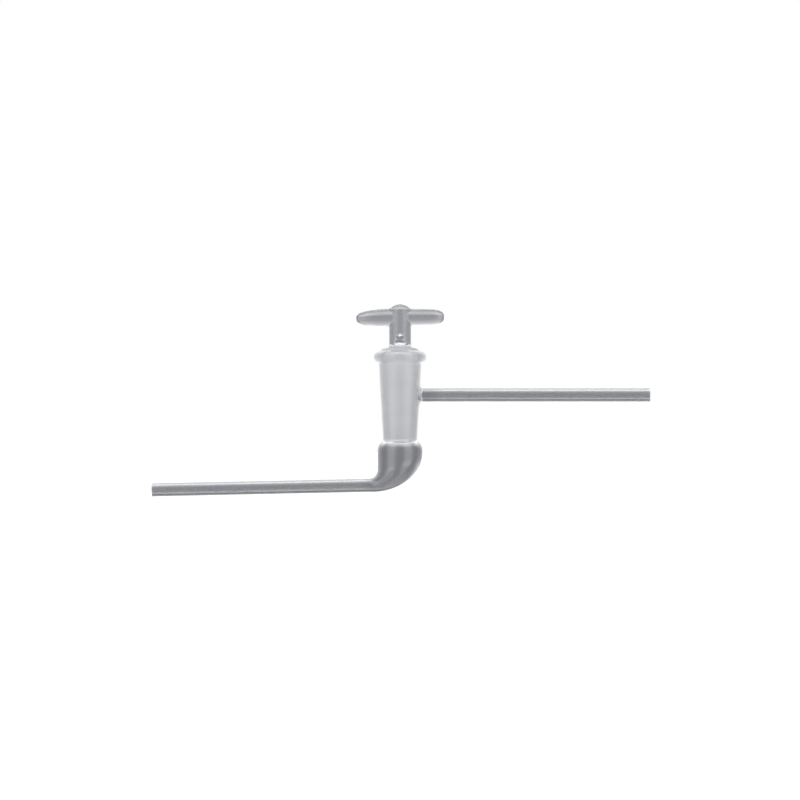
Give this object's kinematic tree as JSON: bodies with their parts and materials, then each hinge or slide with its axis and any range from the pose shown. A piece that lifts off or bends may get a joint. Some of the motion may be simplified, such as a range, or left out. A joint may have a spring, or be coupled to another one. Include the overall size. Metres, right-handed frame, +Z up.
{
  "type": "glass stopcock",
  "caption": "Glass stopcock with a hollow ground plug and T-handle in a conical barrel, a straight side arm and a blown bulb that bends into a long lower arm.",
  "frame": {"origin": "where the plug's axis crosses the side arm's axis", "axes": "+Z up along the plug's axis towards the handle, +X out along the side arm"},
  "size_m": [0.2991, 0.0314, 0.1155],
  "materials": {
    "clear_glass": "blown and fire-polished borosilicate glass, ground matt on the barrel's inner wall",
    "ground_glass": "borosilicate glass, cone ground matt and greased, stem and handle clear"
  },
  "bodies": {
    "body": {"body": "clear_glass"},
    "plug": {"plug": "ground_glass"}
  },
  "joints": [
    {"name": "plug_turn", "type": "hinge", "parent": "body", "child": "plug", "pos_m": [0, 0, 0], "axis": [0, 0, 1], "continuous": true}
  ]
}
